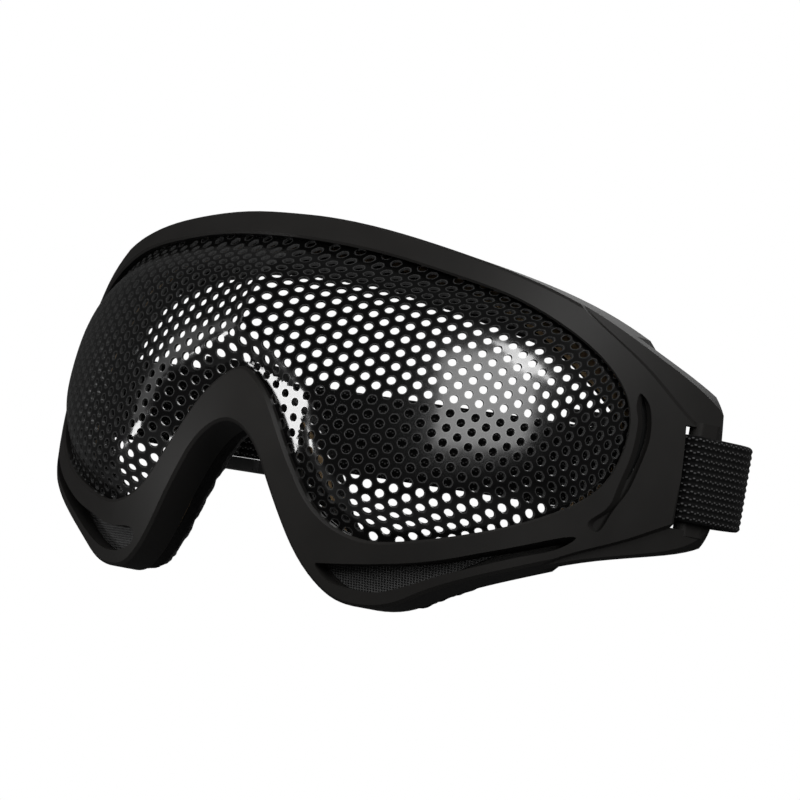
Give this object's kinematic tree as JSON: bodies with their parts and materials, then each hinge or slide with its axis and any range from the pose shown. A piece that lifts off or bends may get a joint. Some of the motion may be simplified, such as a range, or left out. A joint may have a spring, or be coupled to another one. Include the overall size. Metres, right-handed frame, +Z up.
{
  "type": "mesh safety goggles",
  "caption": "Wraparound safety goggles with a domed perforated metal lens in a soft one-piece frame, a foam face seal, vents and an elastic strap with sliding adjusters",
  "frame": {"origin": "on the front face of the frame where the lens opening peaks over the nose", "axes": "+X to the wearer's left across the face, +Y from the nose ridge back to the wearer, +Z up"},
  "size_m": [0.181, 0.1004, 0.0872],
  "materials": {
    "frame_tpu": "soft satin charcoal moulding",
    "lens_steel": "black coated perforated sheet",
    "seal_backing": "tan adhesive layer",
    "seal_foam": "open-cell black foam",
    "seal_fleece": "black fleece",
    "filter_screen": "speckled grey filter screen",
    "webbing": "ribbed black elastic webbing",
    "slider_plastic": "black moulded plastic"
  },
  "bodies": {
    "goggles": {"goggle_frame": "frame_tpu", "mesh_lens": "lens_steel", "seal_backing": "seal_backing", "seal_foam": "seal_foam", "seal_fleece": "seal_fleece", "lower_filter_right": "filter_screen", "lower_filter_left": "filter_screen"},
    "strap": {"strap_band": "webbing"},
    "adjuster_right": {"slider_right": "slider_plastic", "strap_return_right": "webbing"},
    "adjuster_left": {"slider_left": "slider_plastic", "strap_return_left": "webbing"}
  },
  "joints": [
    {"name": "strap_tilt", "type": "hinge", "parent": "goggles", "child": "strap", "pos_m": [0, 0.0745, -0.0055], "axis": [1, 0, 0], "range_deg": [-5, 5]},
    {"name": "adjuster_right_slide", "type": "slide", "parent": "strap", "child": "adjuster_right", "axis": [-1, 0, 0], "range_m": [0, 0.02], "deforming": ["strap_return_right"]},
    {"name": "adjuster_left_slide", "type": "slide", "parent": "strap", "child": "adjuster_left", "axis": [1, 0, 0], "range_m": [0, 0.02], "deforming": ["strap_return_left"]}
  ]
}
